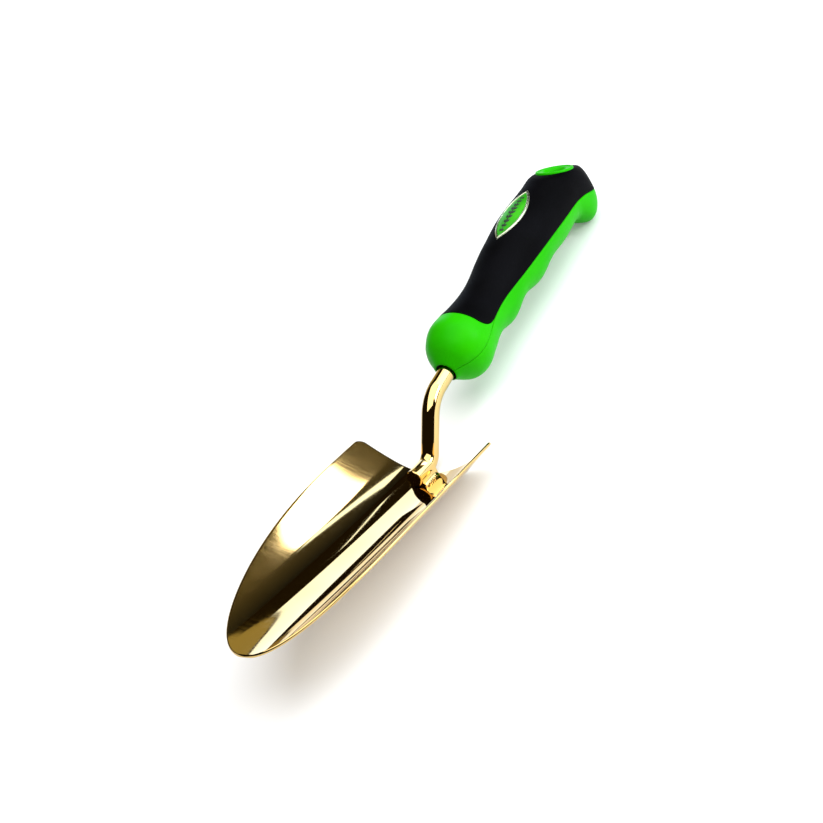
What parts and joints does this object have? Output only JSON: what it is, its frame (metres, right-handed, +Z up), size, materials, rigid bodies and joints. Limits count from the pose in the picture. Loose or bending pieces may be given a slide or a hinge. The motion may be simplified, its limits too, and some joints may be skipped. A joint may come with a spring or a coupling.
{
  "type": "hand trowel",
  "caption": "Hand trowel: scooped steel blade welded to a cranked round tang, in a two-shell moulded handle with a soft palm grip, finger grooves, pommel hook and hang-up bore.",
  "frame": {"origin": "middle of the trowel's box, on the surface it lies on: the blade's heel and the pommel hook touch Z = 0", "axes": "+Y along the tool from the blade's tip to the handle's butt, +Z up out of the blade's hollow, X across; the plane X = 0 is the mirror plane"},
  "size_m": [0.0786, 0.3098, 0.0405],
  "materials": {
    "polished_steel": "mirror polished with a warm gold tone and faint brushed scratches",
    "green_plastic": "saturated lime green, satin gloss moulding",
    "black_grip": "black soft-touch thermoplastic rubber, fine matt grain",
    "badge_green": "printed green under a clear gloss coat",
    "badge_trim": "bright plated trim"
  },
  "bodies": {
    "root": {"blade": "polished_steel", "tang": "polished_steel", "weld_bead_left": "polished_steel", "weld_bead_right": "polished_steel", "upper_shell": "green_plastic", "lower_shell": "green_plastic", "hang_eyelet": "green_plastic", "palm_grip": "black_grip", "nose_seal": "black_grip", "badge_plate": "badge_green", "badge_bezel": "badge_trim"}
  },
  "joints": []
}
